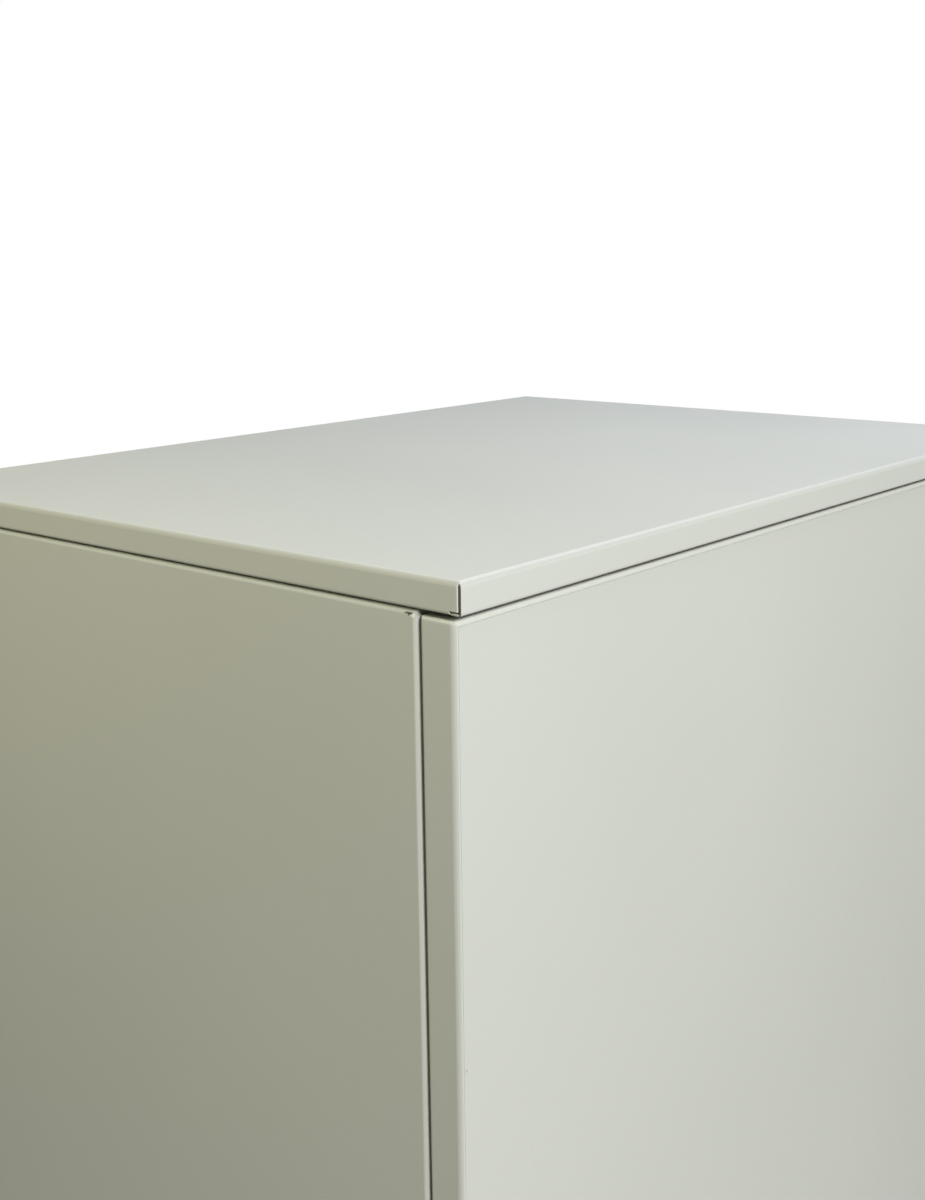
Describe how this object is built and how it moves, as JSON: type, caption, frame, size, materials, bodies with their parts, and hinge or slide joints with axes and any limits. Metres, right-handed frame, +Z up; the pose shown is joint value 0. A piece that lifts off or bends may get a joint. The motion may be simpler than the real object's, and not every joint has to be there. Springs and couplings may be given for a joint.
{
  "type": "metal filing cabinet",
  "caption": "Tall folded-steel filing cabinet with file drawers on telescopic slides, recessed pulls and a lock that works a vertical bar.",
  "frame": {"origin": "bottom centre of the cabinet, on the floor", "axes": "+Z up, drawers open toward -Y, lock on the +X side of the front"},
  "size_m": [0.45, 0.62, 1.32],
  "materials": {
    "powder_coat": "satin powder coat, fine grain",
    "zinc_plate": "zinc plated",
    "satin_nickel": "satin nickel plate",
    "black_plastic": "moulded, fine texture",
    "black_rubber": "matt",
    "label_card": "uncoated card"
  },
  "bodies": {
    "carcass": {"lid": "powder_coat", "side_panel_left": "powder_coat", "side_panel_right": "powder_coat", "back_panel": "powder_coat", "bottom_panel": "powder_coat", "plinth_rail": "powder_coat", "top_rail": "powder_coat", "lid_rails": "zinc_plate", "front_posts": "zinc_plate", "rear_posts": "zinc_plate", "lock_housing": "satin_nickel", "lock_bar_guides": "black_plastic", "feet": "black_rubber", "lid_screws": "zinc_plate", "back_screws": "zinc_plate", "base_screws": "zinc_plate", "slide_bumpers": "black_rubber", "slide_1_outer": "zinc_plate", "slide_2_outer": "zinc_plate", "slide_3_outer": "zinc_plate", "slide_4_outer": "zinc_plate"},
    "drawer_1": {"drawer_1_front": "powder_coat", "drawer_1_liner": "powder_coat", "drawer_1_tray": "powder_coat", "drawer_1_handle": "satin_nickel", "drawer_1_label_holder": "satin_nickel", "drawer_1_label_card": "label_card", "drawer_1_hanging_rails": "zinc_plate", "slide_1_inner": "zinc_plate"},
    "drawer_2": {"drawer_2_front": "powder_coat", "drawer_2_liner": "powder_coat", "drawer_2_tray": "powder_coat", "drawer_2_handle": "satin_nickel", "drawer_2_label_holder": "satin_nickel", "drawer_2_label_card": "label_card", "drawer_2_hanging_rails": "zinc_plate", "slide_2_inner": "zinc_plate"},
    "drawer_3": {"drawer_3_front": "powder_coat", "drawer_3_liner": "powder_coat", "drawer_3_tray": "powder_coat", "drawer_3_handle": "satin_nickel", "drawer_3_label_holder": "satin_nickel", "drawer_3_label_card": "label_card", "drawer_3_hanging_rails": "zinc_plate", "slide_3_inner": "zinc_plate"},
    "drawer_4": {"drawer_4_front": "powder_coat", "drawer_4_liner": "powder_coat", "drawer_4_tray": "powder_coat", "drawer_4_handle": "satin_nickel", "drawer_4_label_holder": "satin_nickel", "drawer_4_label_card": "label_card", "drawer_4_hanging_rails": "zinc_plate", "slide_4_inner": "zinc_plate"},
    "slide_1": {"slide_1_middle": "zinc_plate"},
    "slide_2": {"slide_2_middle": "zinc_plate"},
    "slide_3": {"slide_3_middle": "zinc_plate"},
    "slide_4": {"slide_4_middle": "zinc_plate"},
    "lock_barrel": {"lock_plug": "satin_nickel", "lock_cam": "zinc_plate"},
    "lock_bar": {"lock_bar": "zinc_plate"}
  },
  "joints": [
    {"name": "drawer_1_slide", "type": "slide", "parent": "carcass", "child": "drawer_1", "axis": [0, -1, 0], "range_m": [0, 0.5]},
    {"name": "drawer_2_slide", "type": "slide", "parent": "carcass", "child": "drawer_2", "axis": [0, -1, 0], "range_m": [0, 0.5]},
    {"name": "drawer_3_slide", "type": "slide", "parent": "carcass", "child": "drawer_3", "axis": [0, -1, 0], "range_m": [0, 0.5]},
    {"name": "drawer_4_slide", "type": "slide", "parent": "carcass", "child": "drawer_4", "axis": [0, -1, 0], "range_m": [0, 0.5]},
    {"name": "slide_1_travel", "type": "slide", "parent": "carcass", "child": "slide_1", "axis": [0, -1, 0], "range_m": [0, 0.25]},
    {"name": "slide_2_travel", "type": "slide", "parent": "carcass", "child": "slide_2", "axis": [0, -1, 0], "range_m": [0, 0.25]},
    {"name": "slide_3_travel", "type": "slide", "parent": "carcass", "child": "slide_3", "axis": [0, -1, 0], "range_m": [0, 0.25]},
    {"name": "slide_4_travel", "type": "slide", "parent": "carcass", "child": "slide_4", "axis": [0, -1, 0], "range_m": [0, 0.25]},
    {"name": "lock_turn", "type": "hinge", "parent": "carcass", "child": "lock_barrel", "pos_m": [0.18, -0.309, 1.2845], "axis": [0, 1, 0], "range_deg": [0, 90]},
    {"name": "lock_bar_drop", "type": "slide", "parent": "carcass", "child": "lock_bar", "axis": [0, 0, -1], "range_m": [0, 0.01414]}
  ],
  "couplings": [
    {"joint": "slide_1_travel", "follows": "drawer_1_slide", "ratio": 0.5},
    {"joint": "slide_2_travel", "follows": "drawer_2_slide", "ratio": 0.5},
    {"joint": "slide_3_travel", "follows": "drawer_3_slide", "ratio": 0.5},
    {"joint": "slide_4_travel", "follows": "drawer_4_slide", "ratio": 0.5},
    {"joint": "lock_turn", "follows": "lock_bar_drop", "rad_per_m": 111.07}
  ]
}
